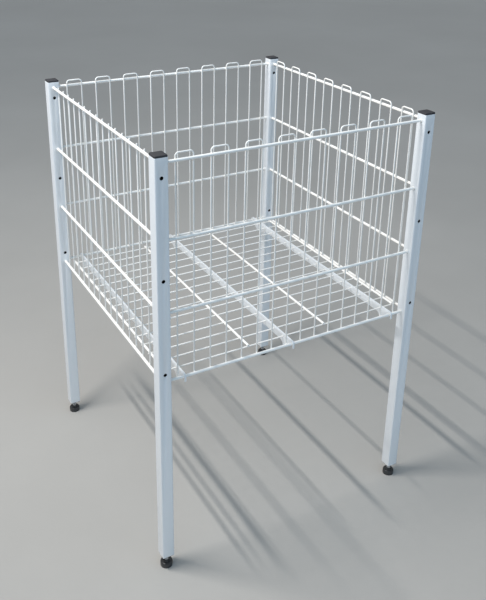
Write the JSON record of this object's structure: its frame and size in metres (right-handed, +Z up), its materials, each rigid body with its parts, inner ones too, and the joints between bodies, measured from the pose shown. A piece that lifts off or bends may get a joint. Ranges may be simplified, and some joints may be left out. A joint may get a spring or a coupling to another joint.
{
  "type": "wire dump bin",
  "caption": "Square wire basket on tall tube legs with levelling feet and a lift-off wire shelf, for loose goods in a shop.",
  "frame": {"origin": "on the floor, under the centre of the bin", "axes": "+Z up, -Y the front wall, -X the left wall, which has the single cut wires"},
  "size_m": [0.6, 0.6, 0.882],
  "materials": {
    "white_powder_coat": "white powder coat, semi-gloss, fine orange peel",
    "cap_plastic": "moulded black plastic, satin",
    "insert_plastic": "moulded black plastic, matt",
    "foot_plastic": "moulded black plastic, glossy",
    "zinc_plated_steel": "bright zinc plating"
  },
  "bodies": {
    "frame": {"post_front_left": "white_powder_coat", "cap_front_left": "cap_plastic", "insert_front_left": "insert_plastic", "post_front_right": "white_powder_coat", "cap_front_right": "cap_plastic", "insert_front_right": "insert_plastic", "post_back_left": "white_powder_coat", "cap_back_left": "cap_plastic", "insert_back_left": "insert_plastic", "post_back_right": "white_powder_coat", "cap_back_right": "cap_plastic", "insert_back_right": "insert_plastic", "rail_front_1": "white_powder_coat", "rail_front_2": "white_powder_coat", "rail_front_3": "white_powder_coat", "rail_front_4": "white_powder_coat", "hairpins_front": "white_powder_coat", "rail_right_1": "white_powder_coat", "rail_right_2": "white_powder_coat", "rail_right_3": "white_powder_coat", "rail_right_4": "white_powder_coat", "hairpins_right": "white_powder_coat", "rail_back_1": "white_powder_coat", "rail_back_2": "white_powder_coat", "rail_back_3": "white_powder_coat", "rail_back_4": "white_powder_coat", "hairpins_back": "white_powder_coat", "rail_left_1": "white_powder_coat", "rail_left_2": "white_powder_coat", "rail_left_3": "white_powder_coat", "rail_left_4": "white_powder_coat", "wires_left": "white_powder_coat"},
    "shelf": {"shelf_wires": "white_powder_coat", "shelf_rod_1": "white_powder_coat", "shelf_rod_2": "white_powder_coat", "shelf_rod_3": "white_powder_coat", "shelf_rod_4": "white_powder_coat", "shelf_bar_left": "white_powder_coat", "shelf_bar_centre": "white_powder_coat", "shelf_bar_right": "white_powder_coat"},
    "foot_front_left": {"foot_pad_front_left": "foot_plastic", "foot_stud_front_left": "zinc_plated_steel"},
    "foot_front_right": {"foot_pad_front_right": "foot_plastic", "foot_stud_front_right": "zinc_plated_steel"},
    "foot_back_left": {"foot_pad_back_left": "foot_plastic", "foot_stud_back_left": "zinc_plated_steel"},
    "foot_back_right": {"foot_pad_back_right": "foot_plastic", "foot_stud_back_right": "zinc_plated_steel"}
  },
  "joints": [
    {"name": "shelf_lift", "type": "slide", "parent": "frame", "child": "shelf", "axis": [0, 0, 1], "range_m": [0, 0.12]},
    {"name": "foot_screw_front_left", "type": "slide", "parent": "frame", "child": "foot_front_left", "axis": [0, 0, 1], "range_m": [-0.01, 0.01]},
    {"name": "foot_screw_front_right", "type": "slide", "parent": "frame", "child": "foot_front_right", "axis": [0, 0, 1], "range_m": [-0.01, 0.01]},
    {"name": "foot_screw_back_left", "type": "slide", "parent": "frame", "child": "foot_back_left", "axis": [0, 0, 1], "range_m": [-0.01, 0.01]},
    {"name": "foot_screw_back_right", "type": "slide", "parent": "frame", "child": "foot_back_right", "axis": [0, 0, 1], "range_m": [-0.01, 0.01]}
  ]
}
